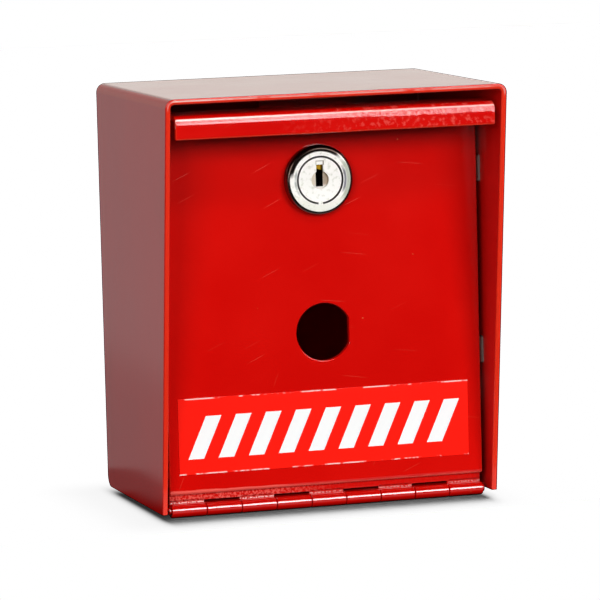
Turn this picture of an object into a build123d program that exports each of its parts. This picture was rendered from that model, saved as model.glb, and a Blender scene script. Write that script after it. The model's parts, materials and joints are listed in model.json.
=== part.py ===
from build123d import *
import os

# A small steel key box for a wall. A bent wrap makes both sides and a rain hood over a recessed
# door. The door is hinged along its foot and closed by a cam lock, with a spare lock hole below it.
#
# Millimetres, +Z up. The front faces -Y and +X is right. The origin is at the middle of the
# footprint, on the surface that the box stands on. A depth is measured forward from the back.

os.makedirs("parts", exist_ok=True)

# Wrap: left side, top and right side in one sheet
box_width = 122.5
wall_height = 144.5
hood_depth = 90.0
foot_depth = 71.5
wrap_sheet = 1.9
bend_inner = 1.3
edge_round = 0.4

# Back and floor in one sheet, welded inside the wrap
inner_sheet = 1.5
heel_radius = 4.0
weld_gap = 0.1
screw_spacing_x = 76.2
screw_spacing_z = 88.9
screw_hole_diameter = 6.6
screws_above_foot = 72.0

# Continuous hinge along the foot of the door
hinge_depth = 67.0
knuckle_count = 9
hinge_end_inset = 0.15
knuckle_gap = 0.3
pin_diameter = 2.36
pin_clearance = 0.05
pin_proud = 0.6
leaf_sheet = 1.0
leaf_reach = 22.0
notch_clearance = 0.95
floor_nose_gap = 0.45

# Door
door_sheet = 1.9
door_side_gap = 2.05
door_above_knuckles = 3.2
door_below_hood = 4.1
lip_setback = 2.0
lip_height = 8.2
door_foot_round = 1.3
lip_edge_round = 0.9

# Lock hole and spare lock hole, both a circle with one flat on the right
lock_below_flange = 25.8
lock_left_of_middle = 1.1
lock_spacing = 53.3
lock_hole_radius = 10.1
lock_hole_flat = 9.15
lock_hole_round = 0.3

# Lock shell
lock_fit = 0.25
bezel_diameter = 24.4
bezel_height = 3.2
bezel_round = 1.5
shell_reach = 19.0
plug_diameter = 12.6
running_clearance = 0.05
face_diameter = 15.8
face_height = 2.1
face_groove = 0.4
face_sink = 0.15
stop_height = 1.0
stop_arc = 179.0

# Keyway and tumblers
keyway_width = 2.6
keyway_top = 5.3
keyway_foot = 2.3
keyway_floor = 2.0
key_dish_diameter = 6.3
key_dish_depth = 1.0
key_lead_in_height = 1.4
key_lead_in_depth = 0.5
wafer_count = 5
wafer_pitch = 2.2
wafer_thickness = 0.6
wafer_width = 6.5
wafer_slack = 0.05
wafer_window_width = 3.0
wafer_ear = 1.25
first_wafer_back = 3.2
spring_diameter = 1.1
spring_length = 3.7
index_nub_width = 1.6

# Cam and what clamps it to the plug
tail_square = 8.0
tail_clearance = 0.05
stop_washer_sheet = 1.2
stop_ring_inner = 6.8
stop_ring_width = 2.0
cam_sheet = 1.6
cam_reach = 25.4
cam_width = 12.7
cam_tip_width = 10.0
cam_washer_diameter = 11.0
cam_washer_sheet = 0.8
cam_screw_diameter = 4.9
cam_screw_reach = 6.5
cam_screw_head_diameter = 9.0
cam_screw_head = 2.4
screw_recess_width = 1.1
screw_recess_length = 5.0
screw_recess_depth = 1.3

# Nut that clamps the lock in the door
lock_washer_diameter = 25.0
lock_washer_sheet = 0.8
nut_across_flats = 25.4
nut_height = 4.0

# Strike that the cam catches behind
strike_width = 32.0
strike_overlap = 7.5
strike_seat = 10.0
cam_play = 0.6

# Pads that the door's side edges rest on
pad_height = 9.6
pad_reach = 6.5
pad_depth = 8.0
pad_round = 1.0
pad_gap = 0.1
upper_pad_above_lock = 0.7
pad_spacing = 64.2

# Hooks for the keys
hook_count = 3
hook_pitch = 18.0
hook_strip_height = 12.0
hook_strip_margin = 8.0
hook_sheet = 1.2
hook_width = 5.0
hook_reach = 9.0
hook_tip = 4.0
hook_strip_above_lock = 2.0

# Sticker
label_width = 106.0
label_height = 26.5
label_above_door_foot = 7.0
label_shift = -0.7
label_film = 0.2

# Places worked out from the sizes above
inner_width = box_width - 2 * wrap_sheet
knuckle_radius = pin_diameter / 2 + pin_clearance + leaf_sheet
hinge_z = knuckle_radius
foot_z = 2 * knuckle_radius - leaf_sheet - inner_sheet
top_z = foot_z + wall_height
hood_under_z = top_z - wrap_sheet
floor_top_z = foot_z + inner_sheet
leaf_front_depth = hinge_depth - knuckle_radius + leaf_sheet
door_front_depth = leaf_front_depth + door_sheet
door_width = inner_width - 2 * door_side_gap
hinge_length = door_width - 2 * hinge_end_inset
knuckle_pitch = hinge_length / knuckle_count
door_foot_z = hinge_z + knuckle_radius + door_above_knuckles
flange_z = hood_under_z - door_below_hood
lip_depth = hood_depth - lip_setback
lock_z = flange_z - lock_below_flange
spare_z = lock_z - lock_spacing
lock_x = -lock_left_of_middle
shell_radius = lock_hole_radius - lock_fit
shell_back_depth = door_front_depth - shell_reach
bezel_front_depth = door_front_depth + bezel_height
bore_radius = plug_diameter / 2 + running_clearance
groove_radius = face_diameter / 2 + face_groove
face_front_depth = bezel_front_depth - face_sink
face_back_depth = face_front_depth - face_height
washer_front_depth = shell_back_depth - running_clearance
cam_front_depth = washer_front_depth - stop_washer_sheet
cam_back_depth = cam_front_depth - cam_sheet
strike_back_depth = cam_front_depth + cam_play
strike_foot_z = lock_z + cam_reach - strike_overlap


def y_at(depth):
    """Y of a place that many millimetres forward of the back."""
    return hood_depth / 2 - depth


def facing(depth):
    """Sketch plane at a depth: X right, Z up, and extruding forward."""
    return Plane.XZ.offset(depth - hood_depth / 2)


def side_on(x):
    """Sketch plane seen from the right, whose coordinates are Y and Z."""
    return Plane.YZ.offset(x)


def corner(sketch, y, z):
    """The vertex of a side-on sketch nearest to that place."""
    return sketch.vertices().sort_by_distance((y, z))[0]


def write(piece, name):
    piece.part.label = name
    export_step(piece.part, f"parts/{name}.step")


# Wrap: a U-shaped section, cut to the raked side view
with BuildPart() as wrap_shell:
    with BuildSketch(facing(0)) as wrap_section:
        with Locations((0, foot_z)):
            Rectangle(box_width, wall_height, align=(Align.CENTER, Align.MIN))
        fillet(wrap_section.vertices().group_by(Axis.Y)[-1], bend_inner + wrap_sheet)
        with Locations((0, hood_under_z)):
            RectangleRounded(inner_width, 2 * wall_height, bend_inner,
                             align=(Align.CENTER, Align.MAX), mode=Mode.SUBTRACT)
    extrude(amount=hood_depth)
    with BuildSketch(side_on(0)) as wrap_side_view:
        with BuildLine():
            Polyline((y_at(0), foot_z), (y_at(foot_depth), foot_z), (y_at(hood_depth), top_z),
                     (y_at(0), top_z), close=True)
        make_face()
        fillet(corner(wrap_side_view, y_at(0), foot_z), heel_radius)
    extrude(amount=box_width / 2, both=True, mode=Mode.INTERSECT)
    fillet(wrap_shell.faces().sort_by(Axis.Y)[0].edges(), edge_round)
write(wrap_shell, "wrap_shell")


# Back and floor: one sheet with a single bend at the heel
floor_front_depth = hinge_depth - knuckle_radius - floor_nose_gap
panel_width = inner_width - 2 * weld_gap
panel_top_z = hood_under_z - weld_gap
with BuildPart() as back_floor_panel:
    with BuildSketch(side_on(0)) as panel_side_view:
        with BuildLine():
            Polyline((y_at(0), foot_z), (y_at(floor_front_depth), foot_z),
                     (y_at(floor_front_depth), floor_top_z), (y_at(inner_sheet), floor_top_z),
                     (y_at(inner_sheet), panel_top_z), (y_at(0), panel_top_z), close=True)
        make_face()
        heel_corners = [corner(panel_side_view, y_at(0), foot_z)]
        fillet(heel_corners, heel_radius)
        fillet(corner(panel_side_view, y_at(inner_sheet), floor_top_z), heel_radius - inner_sheet)
    extrude(amount=panel_width / 2, both=True)
    top_corners = back_floor_panel.edges().filter_by(Axis.Y).group_by(Axis.Z)[-1]
    fillet(top_corners, bend_inner + weld_gap)
    with BuildSketch(facing(0)):
        with Locations((0, foot_z + screws_above_foot)):
            with GridLocations(screw_spacing_x, screw_spacing_z, 2, 2):
                Circle(screw_hole_diameter / 2)
    extrude(amount=inner_sheet, mode=Mode.SUBTRACT)
write(back_floor_panel, "back_floor_panel")


# Continuous hinge: odd knuckles on the door leaf, even knuckles on the body leaf
knuckle_length = knuckle_pitch - knuckle_gap
knuckle_starts = [-hinge_length / 2 + index * knuckle_pitch + knuckle_gap / 2
                  for index in range(knuckle_count)]
bore_of_knuckle = pin_diameter / 2 + pin_clearance
notch_depth = knuckle_radius + notch_clearance
hinge_y = y_at(hinge_depth)

with BuildPart() as hinge_door_leaf:
    strip_foot_z = hinge_z + notch_depth
    leaf_back_y = y_at(leaf_front_depth - leaf_sheet)
    with BuildSketch(facing(leaf_front_depth - leaf_sheet)):
        with Locations((0, strip_foot_z)):
            Rectangle(hinge_length - knuckle_gap, leaf_reach - notch_depth,
                      align=(Align.CENTER, Align.MIN))
    extrude(amount=leaf_sheet)
    for start in knuckle_starts[0::2]:
        with BuildSketch(side_on(start)):
            with Locations((hinge_y, hinge_z)):
                Circle(knuckle_radius)
            with Locations((leaf_back_y, hinge_z)):
                Rectangle(leaf_sheet, notch_depth, align=(Align.MAX, Align.MIN))
            with Locations((hinge_y, hinge_z)):
                Circle(bore_of_knuckle, mode=Mode.SUBTRACT)
        extrude(amount=knuckle_length)
write(hinge_door_leaf, "hinge_door_leaf")

with BuildPart() as hinge_body_leaf:
    with BuildSketch(Plane.XY.offset(floor_top_z)):
        with Locations((0, hinge_y + notch_depth)):
            Rectangle(hinge_length - knuckle_gap, leaf_reach - notch_depth,
                      align=(Align.CENTER, Align.MIN))
    extrude(amount=leaf_sheet)
    for start in knuckle_starts[1::2]:
        with BuildSketch(side_on(start)):
            with Locations((hinge_y, hinge_z)):
                Circle(knuckle_radius)
            with Locations((hinge_y, floor_top_z)):
                Rectangle(notch_depth, leaf_sheet, align=(Align.MIN, Align.MIN))
            with Locations((hinge_y, hinge_z)):
                Circle(bore_of_knuckle, mode=Mode.SUBTRACT)
        extrude(amount=knuckle_length)
write(hinge_body_leaf, "hinge_body_leaf")

with BuildPart() as hinge_pin:
    with BuildSketch(side_on(0)):
        with Locations((hinge_y, hinge_z)):
            Circle(pin_diameter / 2)
    extrude(amount=hinge_length / 2 + pin_proud, both=True)
write(hinge_pin, "hinge_pin")


# Door: one sheet bent forward at the top, then down into the lip
with BuildPart() as door_panel:
    back_y = y_at(leaf_front_depth)
    front_y = y_at(door_front_depth)
    lip_front_y = y_at(lip_depth)
    lip_back_y = lip_front_y + door_sheet
    lip_foot_z = flange_z - lip_height
    flange_under_z = flange_z - door_sheet
    with BuildSketch(side_on(0)) as door_side_view:
        with BuildLine():
            Polyline((back_y, door_foot_z), (back_y, flange_z), (lip_front_y, flange_z),
                     (lip_front_y, lip_foot_z), (lip_back_y, lip_foot_z),
                     (lip_back_y, flange_under_z), (front_y, flange_under_z),
                     (front_y, door_foot_z), close=True)
        make_face()
        for y in (back_y, lip_front_y):
            fillet(corner(door_side_view, y, flange_z), bend_inner + door_sheet)
        for y in (lip_back_y, front_y):
            fillet(corner(door_side_view, y, flange_under_z), bend_inner)
        for y in (lip_front_y, lip_back_y):
            fillet(corner(door_side_view, y, lip_foot_z), lip_edge_round)
        fillet(corner(door_side_view, front_y, door_foot_z), door_foot_round)
    extrude(amount=door_width / 2, both=True)
    for side in (door_panel.faces().sort_by(Axis.X)[0], door_panel.faces().sort_by(Axis.X)[-1]):
        fillet(side.edges(), edge_round)
    with BuildSketch(facing(leaf_front_depth)):
        with Locations((lock_x, lock_z), (0, spare_z)):
            Circle(lock_hole_radius)
        with Locations((lock_x + lock_hole_flat, lock_z), (lock_hole_flat, spare_z)):
            Rectangle(lock_hole_radius, 2 * lock_hole_radius,
                      align=(Align.MIN, Align.CENTER), mode=Mode.SUBTRACT)
    extrude(amount=door_sheet, mode=Mode.SUBTRACT)
    between_holes = (0, front_y, (lock_z + spare_z) / 2)
    front_face = door_panel.faces().filter_by(Axis.Y).sort_by_distance(between_holes)[0]
    fillet(front_face.inner_wires().edges(), lock_hole_round)
write(door_panel, "door_panel")

with BuildPart() as door_label:
    with BuildSketch(facing(door_front_depth)):
        with Locations((label_shift, door_foot_z + label_above_door_foot)):
            Rectangle(label_width, label_height, align=(Align.CENTER, Align.MIN))
    extrude(amount=label_film)
write(door_label, "door_label")


# Lock shell: bezel, flatted barrel, bore, and a stop on its back end
with BuildPart() as lock_shell:
    with BuildSketch(facing(shell_back_depth)):
        with Locations((lock_x, lock_z)):
            Circle(shell_radius)
        with Locations((lock_x + lock_hole_flat - lock_fit, lock_z)):
            Rectangle(shell_radius, 2 * shell_radius,
                      align=(Align.MIN, Align.CENTER), mode=Mode.SUBTRACT)
    extrude(amount=shell_reach)
    with BuildSketch(facing(door_front_depth)):
        with Locations((lock_x, lock_z)):
            Circle(bezel_diameter / 2)
    extrude(amount=bezel_height)
    fillet(lock_shell.faces().sort_by(Axis.Y)[0].edges(), bezel_round)
    with BuildSketch(facing(shell_back_depth - stop_height)):
        with Locations((lock_x, lock_z)):
            Circle(stop_ring_inner + stop_ring_width)
            Circle(stop_ring_inner, mode=Mode.SUBTRACT)
            Rectangle(2 * shell_radius, shell_radius, align=(Align.CENTER, Align.MIN),
                      rotation=(stop_arc - 180) / 2, mode=Mode.SUBTRACT)
            Rectangle(2 * shell_radius, shell_radius, align=(Align.CENTER, Align.MIN),
                      rotation=(180 - stop_arc) / 2, mode=Mode.SUBTRACT)
    extrude(amount=stop_height)
    with BuildSketch(facing(shell_back_depth)):
        with Locations((lock_x, lock_z)):
            Circle(bore_radius)
    extrude(amount=shell_reach + bezel_height, mode=Mode.SUBTRACT)
    with BuildSketch(facing(face_back_depth - running_clearance)):
        with Locations((lock_x, lock_z)):
            Circle(groove_radius)
    extrude(amount=face_height + running_clearance + face_sink, mode=Mode.SUBTRACT)
write(lock_shell, "lock_shell")


# Plug: face, body and square tail, with the keyway, the wafer slots and their spring pockets
wafer_depths = [face_back_depth - first_wafer_back - index * wafer_pitch
                for index in range(wafer_count)]
wafer_slot = wafer_thickness + 2 * wafer_slack
spring_x = lock_x + wafer_width / 2 + wafer_ear / 2
pocket_radius = spring_diameter / 2 + wafer_slack
pocket_foot_z = lock_z - wafer_slack - spring_length
ear_top_z = lock_z + wafer_thickness
with BuildPart() as lock_plug:
    with BuildSketch(facing(shell_back_depth)):
        with Locations((lock_x, lock_z)):
            Circle(plug_diameter / 2)
    extrude(amount=face_back_depth - shell_back_depth)
    with BuildSketch(facing(face_back_depth)):
        with Locations((lock_x, lock_z)):
            Circle(face_diameter / 2)
        with Locations((lock_x, lock_z - face_diameter / 2)):
            Rectangle(index_nub_width, 2 * (face_groove - running_clearance))
    extrude(amount=face_height)
    with BuildSketch(facing(cam_back_depth + tail_clearance)):
        with Locations((lock_x, lock_z)):
            Rectangle(tail_square, tail_square)
    extrude(amount=shell_back_depth - cam_back_depth - tail_clearance)
    with BuildSketch(facing(cam_back_depth)):
        with Locations((lock_x, lock_z)):
            Circle(cam_screw_diameter / 2 + running_clearance)
    extrude(amount=cam_screw_reach, mode=Mode.SUBTRACT)
    with BuildSketch(facing(cam_back_depth + cam_screw_reach + keyway_floor)):
        with Locations((lock_x, lock_z - keyway_foot)):
            Rectangle(keyway_width, keyway_top + keyway_foot, align=(Align.CENTER, Align.MIN))
    extrude(amount=hood_depth, mode=Mode.SUBTRACT)
    with BuildSketch(facing(face_front_depth - key_dish_depth)):
        with Locations((lock_x, lock_z)):
            Circle(key_dish_diameter / 2)
    extrude(amount=key_dish_depth, mode=Mode.SUBTRACT)
    with BuildSketch(facing(face_front_depth - key_lead_in_depth)):
        with Locations((lock_x, lock_z)):
            Rectangle(keyway_width, keyway_top + key_lead_in_height,
                      align=(Align.CENTER, Align.MIN))
    extrude(amount=key_lead_in_depth, mode=Mode.SUBTRACT)
    for depth in wafer_depths:
        with BuildSketch(facing(depth - wafer_slot / 2)):
            with Locations((lock_x, lock_z)):
                Rectangle(wafer_width + 2 * wafer_slack, 2 * plug_diameter)
            with Locations((lock_x + wafer_width / 2, lock_z - wafer_slack)):
                Rectangle(wafer_ear + wafer_slack, wafer_thickness + 2 * wafer_slack,
                          align=(Align.MIN, Align.MIN))
        extrude(amount=wafer_slot, mode=Mode.SUBTRACT)
        with BuildSketch(Plane.XY.offset(pocket_foot_z)):
            with Locations((spring_x, y_at(depth))):
                Circle(pocket_radius)
        extrude(amount=lock_z - pocket_foot_z + wafer_slack, mode=Mode.SUBTRACT)
write(lock_plug, "lock_plug")

with BuildPart() as tumbler_wafers:
    for depth in wafer_depths:
        with BuildSketch(facing(depth - wafer_thickness / 2)):
            with Locations((lock_x, lock_z)):
                Circle(plug_diameter / 2 - wafer_slack)
                Rectangle(wafer_width, plug_diameter, mode=Mode.INTERSECT)
            with Locations((lock_x + wafer_width / 2, lock_z)):
                Rectangle(wafer_ear, wafer_thickness, align=(Align.MIN, Align.MIN))
            with Locations((lock_x, lock_z - keyway_foot - wafer_slack)):
                Rectangle(wafer_window_width, keyway_top + keyway_foot - wafer_thickness,
                          align=(Align.CENTER, Align.MIN), mode=Mode.SUBTRACT)
        extrude(amount=wafer_thickness)
write(tumbler_wafers, "tumbler_wafers")

with BuildPart() as tumbler_springs:
    for depth in wafer_depths:
        with BuildSketch(Plane.XY.offset(pocket_foot_z)):
            with Locations((spring_x, y_at(depth))):
                Circle(spring_diameter / 2)
        extrude(amount=spring_length)
write(tumbler_springs, "tumbler_springs")


# Washer whose quarter-round lug meets the ends of the stop on the shell, a quarter turn apart
with BuildPart() as cam_stop_washer:
    with BuildSketch(facing(cam_front_depth)):
        with Locations((lock_x, lock_z)):
            Circle(stop_ring_inner + stop_ring_width - running_clearance)
            Rectangle(shell_radius, shell_radius, align=(Align.MIN, Align.MIN),
                      mode=Mode.INTERSECT)
            Circle(stop_ring_inner - running_clearance)
            Rectangle(tail_square + 2 * tail_clearance, tail_square + 2 * tail_clearance,
                      mode=Mode.SUBTRACT)
    extrude(amount=stop_washer_sheet)
write(cam_stop_washer, "cam_stop_washer")

# Cam: points right when the box is unlocked, and up behind the strike when it is locked
with BuildPart() as cam:
    with BuildSketch(facing(cam_back_depth)):
        with Locations((lock_x, lock_z)):
            Circle(cam_width / 2)
        with BuildLine():
            Polyline((lock_x, lock_z - cam_width / 2),
                     (lock_x + cam_reach, lock_z - cam_tip_width / 2),
                     (lock_x + cam_reach, lock_z + cam_tip_width / 2),
                     (lock_x, lock_z + cam_width / 2), close=True)
        make_face()
        with Locations((lock_x, lock_z)):
            Rectangle(tail_square + 2 * tail_clearance, tail_square + 2 * tail_clearance,
                      mode=Mode.SUBTRACT)
    extrude(amount=cam_sheet)
    tip_edges = cam.edges().filter_by(Axis.Y).group_by(Axis.X)[-1]
    fillet(tip_edges, cam_tip_width / 5)
write(cam, "cam")

with BuildPart() as cam_lock_washer:
    with BuildSketch(facing(cam_back_depth - cam_washer_sheet)):
        with Locations((lock_x, lock_z)):
            Circle(cam_washer_diameter / 2)
            Circle(cam_screw_diameter / 2 + running_clearance, mode=Mode.SUBTRACT)
    extrude(amount=cam_washer_sheet)
write(cam_lock_washer, "cam_lock_washer")

with BuildPart() as cam_screw:
    head_front_depth = cam_back_depth - cam_washer_sheet
    with BuildSketch(facing(head_front_depth - cam_screw_head)):
        with Locations((lock_x, lock_z)):
            Circle(cam_screw_head_diameter / 2)
    extrude(amount=cam_screw_head)
    fillet(cam_screw.faces().sort_by(Axis.Y)[-1].edges(), cam_screw_head / 3)
    with BuildSketch(facing(head_front_depth)):
        with Locations((lock_x, lock_z)):
            Circle(cam_screw_diameter / 2)
    extrude(amount=cam_washer_sheet + cam_screw_reach - tail_clearance)
    with BuildSketch(facing(head_front_depth - cam_screw_head)):
        with Locations((lock_x, lock_z)):
            Rectangle(screw_recess_width, screw_recess_length)
            Rectangle(screw_recess_length, screw_recess_width)
    extrude(amount=screw_recess_depth, mode=Mode.SUBTRACT)
write(cam_screw, "cam_screw")


# Washer and nut behind the door
with BuildPart() as lock_washer:
    with BuildSketch(facing(leaf_front_depth - lock_washer_sheet)):
        with Locations((lock_x, lock_z)):
            Circle(lock_washer_diameter / 2)
            Circle(shell_radius + running_clearance, mode=Mode.SUBTRACT)
    extrude(amount=lock_washer_sheet)
write(lock_washer, "lock_washer")

with BuildPart() as lock_nut:
    with BuildSketch(facing(leaf_front_depth - lock_washer_sheet - nut_height)):
        with Locations((lock_x, lock_z)):
            RegularPolygon(nut_across_flats / 2, 6, major_radius=False)
            Circle(shell_radius + running_clearance, mode=Mode.SUBTRACT)
    extrude(amount=nut_height)
write(lock_nut, "lock_nut")


# Strike: an angle welded under the top, its leg hanging just in front of the cam's path
with BuildPart() as latch_strike:
    strike_back_y = y_at(strike_back_depth)
    strike_front_y = strike_back_y - wrap_sheet
    seat_front_y = strike_front_y - strike_seat
    seat_under_z = hood_under_z - wrap_sheet
    with BuildSketch(side_on(0)) as strike_side_view:
        with BuildLine():
            Polyline((strike_back_y, strike_foot_z), (strike_back_y, hood_under_z),
                     (seat_front_y, hood_under_z), (seat_front_y, seat_under_z),
                     (strike_front_y, seat_under_z), (strike_front_y, strike_foot_z), close=True)
        make_face()
        fillet(corner(strike_side_view, strike_back_y, hood_under_z), bend_inner + wrap_sheet)
        fillet(corner(strike_side_view, strike_front_y, seat_under_z), bend_inner)
    extrude(amount=strike_width / 2, both=True)
write(latch_strike, "latch_strike")


# Pads on the inside of each wall, behind the door's side edges
pad_front_depth = leaf_front_depth - pad_gap
pad_centres_z = [lock_z + upper_pad_above_lock, lock_z + upper_pad_above_lock - pad_spacing]
for name, side in (("stop_pads_left", -1), ("stop_pads_right", 1)):
    with BuildPart() as stop_pads:
        with BuildSketch(facing(pad_front_depth - pad_depth)):
            with Locations([(side * (inner_width - pad_reach) / 2, z) for z in pad_centres_z]):
                Rectangle(pad_reach, pad_height)
        extrude(amount=pad_depth)
        front_edges = stop_pads.edges().filter_by(Axis.X).group_by(Axis.Y)[0]
        fillet(front_edges, pad_round)
    write(stop_pads, name)


# Hook strip welded to the back, with one upturned hook for each key
with BuildPart() as key_hook_strip:
    strip_foot = lock_z + hook_strip_above_lock
    strip_width = (hook_count - 1) * hook_pitch + hook_width + 2 * hook_strip_margin
    with BuildSketch(facing(inner_sheet)):
        with Locations((0, strip_foot)):
            Rectangle(strip_width, hook_strip_height, align=(Align.CENTER, Align.MIN))
    extrude(amount=hook_sheet)
    hook_tip_y = y_at(inner_sheet + hook_sheet + hook_reach)
    for index in range(hook_count):
        hook_x = (index - (hook_count - 1) / 2) * hook_pitch
        with BuildSketch(side_on(hook_x)) as hook_side_view:
            with BuildLine():
                Polyline((y_at(inner_sheet), strip_foot), (hook_tip_y, strip_foot),
                         (hook_tip_y, strip_foot + hook_tip),
                         (hook_tip_y + hook_sheet, strip_foot + hook_tip),
                         (hook_tip_y + hook_sheet, strip_foot + hook_sheet),
                         (y_at(inner_sheet), strip_foot + hook_sheet), close=True)
            make_face()
            fillet(corner(hook_side_view, hook_tip_y, strip_foot), 2 * hook_sheet)
            fillet(corner(hook_side_view, hook_tip_y + hook_sheet, strip_foot + hook_sheet),
                   hook_sheet)
        extrude(amount=hook_width / 2, both=True)
write(key_hook_strip, "key_hook_strip")
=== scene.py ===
# %% [markdown]
# # A red steel key box
#
# The real object is a small box of bent and powder-coated steel sheet. One sheet makes both sides
# and the rain hood, another the back and the floor, and the door hangs on a continuous hinge at
# its foot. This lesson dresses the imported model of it: every piece keeps its real place, the
# sheet metal gets its paint, and the pieces with a rule of their own are grown with Geometry Nodes.

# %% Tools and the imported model
import json
import math

import bmesh
import bpy
from mathutils import Matrix, Vector

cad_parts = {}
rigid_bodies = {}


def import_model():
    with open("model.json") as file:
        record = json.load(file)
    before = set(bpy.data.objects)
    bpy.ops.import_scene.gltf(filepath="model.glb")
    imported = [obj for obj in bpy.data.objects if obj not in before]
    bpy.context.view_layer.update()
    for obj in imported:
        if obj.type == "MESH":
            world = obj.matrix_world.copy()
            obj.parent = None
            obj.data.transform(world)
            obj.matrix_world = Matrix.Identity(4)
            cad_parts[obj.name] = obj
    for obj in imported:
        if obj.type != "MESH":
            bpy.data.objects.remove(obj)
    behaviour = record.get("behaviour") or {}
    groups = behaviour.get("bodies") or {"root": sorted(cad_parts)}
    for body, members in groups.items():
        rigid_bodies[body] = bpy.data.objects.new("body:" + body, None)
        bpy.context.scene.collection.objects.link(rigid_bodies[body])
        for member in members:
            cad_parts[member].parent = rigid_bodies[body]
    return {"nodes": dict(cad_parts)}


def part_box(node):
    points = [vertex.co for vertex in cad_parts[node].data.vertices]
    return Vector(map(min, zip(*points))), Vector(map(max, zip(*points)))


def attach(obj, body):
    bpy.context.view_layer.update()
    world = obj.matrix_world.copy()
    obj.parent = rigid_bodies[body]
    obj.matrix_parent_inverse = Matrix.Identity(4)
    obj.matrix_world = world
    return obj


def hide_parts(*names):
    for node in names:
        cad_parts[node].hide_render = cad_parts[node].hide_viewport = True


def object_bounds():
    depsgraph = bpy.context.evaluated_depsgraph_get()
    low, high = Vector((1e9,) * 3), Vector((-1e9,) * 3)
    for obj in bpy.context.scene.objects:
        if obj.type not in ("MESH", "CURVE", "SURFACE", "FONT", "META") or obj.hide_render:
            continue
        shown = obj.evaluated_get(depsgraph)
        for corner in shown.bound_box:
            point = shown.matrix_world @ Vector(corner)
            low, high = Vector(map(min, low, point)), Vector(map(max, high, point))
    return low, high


for leftover in list(bpy.data.objects):
    bpy.data.objects.remove(leftover)

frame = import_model()
scene = bpy.context.scene
nodes = frame["nodes"]
cad_low, cad_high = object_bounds()
mm = 0.001

# %% [markdown]
# ## Reading sizes from the model
#
# A piece that is built here has to meet pieces that are built there, so its size is read from the
# model wherever the model has it. Only the gauge, the bends and a few depths are written down.

# %% Sizes
sheet = 1.9 * mm
outer_bend = 3.2 * mm
heel_round = 4.0 * mm
hood_depth = 90.0 * mm
foot_depth = 71.5 * mm
paint_round = 0.5 * mm
lip_height = 8.2 * mm

wrap_low, wrap_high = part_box("wrap_shell")
door_low, door_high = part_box("door_panel")
label_low, label_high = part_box("door_label")
barrel_low, barrel_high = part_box("hinge_door_leaf")
lock_low, lock_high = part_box("lock_shell")
back_y = wrap_high.y
door_front = label_high.y
lock_x = 0.5 * (lock_low.x + lock_high.x)
lock_z = 0.5 * (lock_low.z + lock_high.z)
lip_foot = door_high.z - lip_height
lip_front = door_low.y
barrel_radius = 0.5 * (barrel_high.y - barrel_low.y)
barrel_y = barrel_low.y + barrel_radius
barrel_z = barrel_low.z + barrel_radius
barrel_top = barrel_z + barrel_radius
print("wrap", [round(size / mm, 1) for size in wrap_high - wrap_low])
print("lock axis", round(lock_x / mm, 2), round(lock_z / mm, 2), "lip foot", round(lip_foot / mm, 2))

# %% [markdown]
# ## The camera
#
# The photograph was taken from well away with a long lens, a little to the left and a little
# above, and the camera leaned by a degree and a half. The lean is a turn about the line of sight,
# so it comes last. A matrix says it all: right, up, back and the place.

# %% Camera
aim = Vector((-1.38, 0.04, 70.13)) * mm
camera_distance = 1.567
camera_turn = math.radians(17.506)
camera_drop = math.radians(6.930)
camera_lean = math.radians(-1.455)
camera_lens = 267.08
sensor_width = 36.0

sight = Vector((math.sin(camera_turn) * math.cos(camera_drop),
                math.cos(camera_turn) * math.cos(camera_drop),
                -math.sin(camera_drop)))
level_right = sight.cross(Vector((0, 0, 1))).normalized()
level_up = level_right.cross(sight)
right = math.cos(camera_lean) * level_right + math.sin(camera_lean) * level_up
up = right.cross(sight)

camera_data = bpy.data.cameras.new("photo_camera")
camera_data.lens = camera_lens
camera_data.sensor_width = sensor_width
camera_data.clip_end = 20.0
camera = bpy.data.objects.new("photo_camera", camera_data)
scene.collection.objects.link(camera)
turned = Matrix((right, up, -sight)).transposed().to_4x4()
camera.matrix_world = Matrix.Translation(aim - camera_distance * sight) @ turned
scene.camera = camera
print("camera at", [round(c, 3) for c in camera.location])

# %% [markdown]
# ## Writing node trees as arithmetic
#
# A material or a Geometry Nodes tree is mostly arithmetic, and arithmetic reads best as
# arithmetic. A Value stands for one socket, and adding or multiplying Values adds the Math nodes.
# A Tree has one method for every other node: its type, its settings, then its sockets.


# %% Value and Tree
class Value:
    """A socket that gives a number, a vector, a colour or a shape."""

    def __init__(self, tree, socket):
        self.tree = tree
        self.socket = socket

    def output(self, name):
        """Another output of the same node."""
        return Value(self.tree, self.socket.node.outputs[name])

    def __add__(self, other):
        return self.tree.math("ADD", self, other)

    def __radd__(self, other):
        return self.tree.math("ADD", other, self)

    def __sub__(self, other):
        return self.tree.math("SUBTRACT", self, other)

    def __rsub__(self, other):
        return self.tree.math("SUBTRACT", other, self)

    def __mul__(self, other):
        return self.tree.math("MULTIPLY", self, other)

    def __rmul__(self, other):
        return self.tree.math("MULTIPLY", other, self)

    def __truediv__(self, other):
        return self.tree.math("DIVIDE", self, other)

    def __gt__(self, other):
        return self.tree.math("GREATER_THAN", self, other)

    def __lt__(self, other):
        return self.tree.math("LESS_THAN", self, other)

    def __abs__(self):
        return self.tree.math("ABSOLUTE", self)

    def at_least(self, other):
        return self.tree.math("MAXIMUM", self, other)

    def at_most(self, other):
        return self.tree.math("MINIMUM", self, other)


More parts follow.
